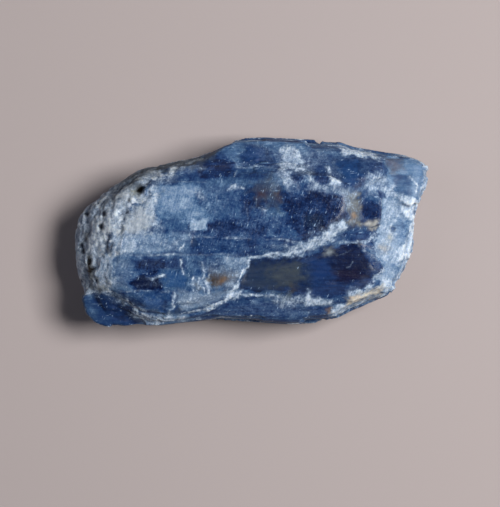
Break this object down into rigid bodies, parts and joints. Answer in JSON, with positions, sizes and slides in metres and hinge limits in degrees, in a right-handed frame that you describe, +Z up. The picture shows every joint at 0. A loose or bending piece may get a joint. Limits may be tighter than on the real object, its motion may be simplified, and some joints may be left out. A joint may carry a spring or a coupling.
{
  "type": "kyanite blade cluster",
  "caption": "Natural mineral specimen: a cluster of flat blue kyanite blades grown side by side, with a grey mica and quartz crust on one end; lies on a flat cleavage face.",
  "frame": {"origin": "under the middle of the specimen's box, on the flat cleavage face that it rests on", "axes": "+X along the blades, away from the crusted end; +Z up, away from the resting face"},
  "size_m": [0.0301, 0.016, 0.0089],
  "materials": {
    "kyanite": "vitreous to pearly blue cleavage faces with frosted white broken edges and a dull grey mica crust"
  },
  "bodies": {
    "root": {"kyanite_cluster": "kyanite"}
  },
  "joints": []
}
